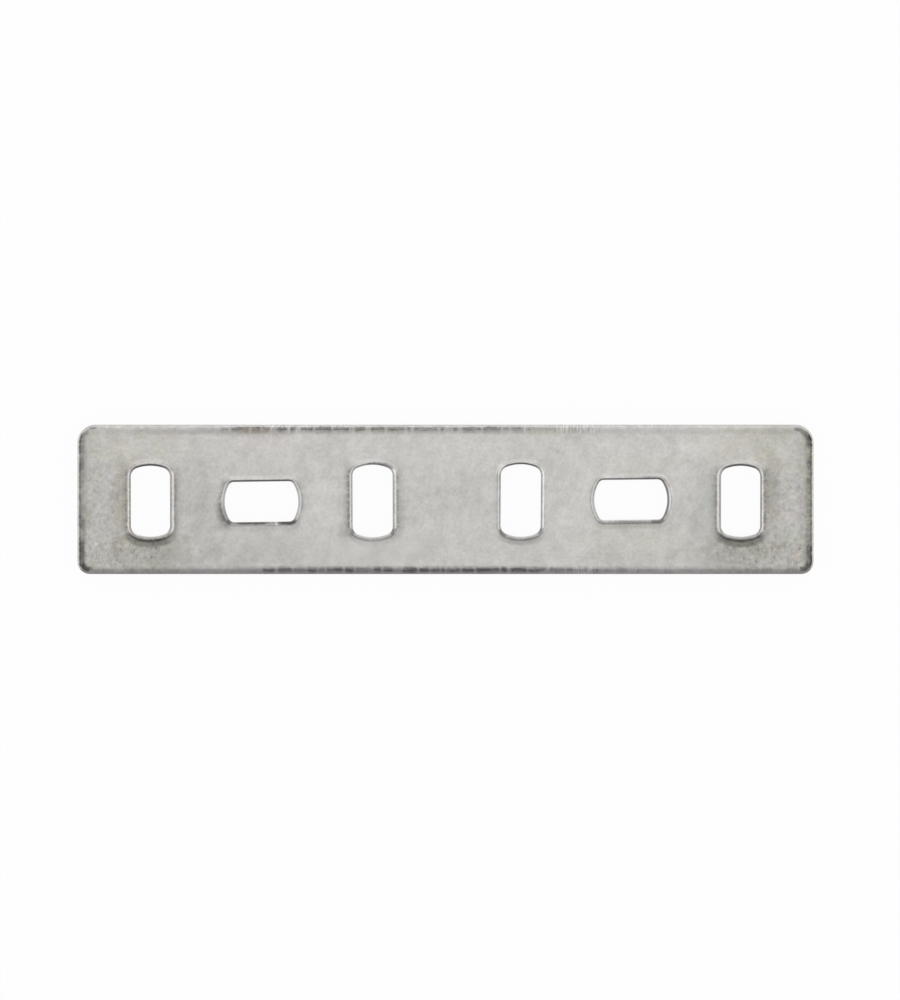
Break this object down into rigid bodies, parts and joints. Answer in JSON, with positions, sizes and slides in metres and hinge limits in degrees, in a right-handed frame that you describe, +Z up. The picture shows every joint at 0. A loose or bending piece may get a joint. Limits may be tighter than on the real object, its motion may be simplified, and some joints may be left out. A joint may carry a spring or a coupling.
{
  "type": "mending plate",
  "caption": "Flat steel strip with rounded corners and a row of punched slots, some across it and some along it, that screws over a joint to hold two members in line.",
  "frame": {"origin": "middle of the back face, the flat face that lies against the work", "axes": "+X along the strip, +Y across it towards the rounder corners, +Z up from the back face to the face with the rolled edges"},
  "size_m": [0.1, 0.0204, 0.002],
  "materials": {
    "zinc_plated_steel": "satin zinc plating over rolled strip, mottled, greyer and grainier at the ends, with bright crowns at the punched edges"
  },
  "bodies": {
    "root": {"mending_plate": "zinc_plated_steel"}
  },
  "joints": []
}
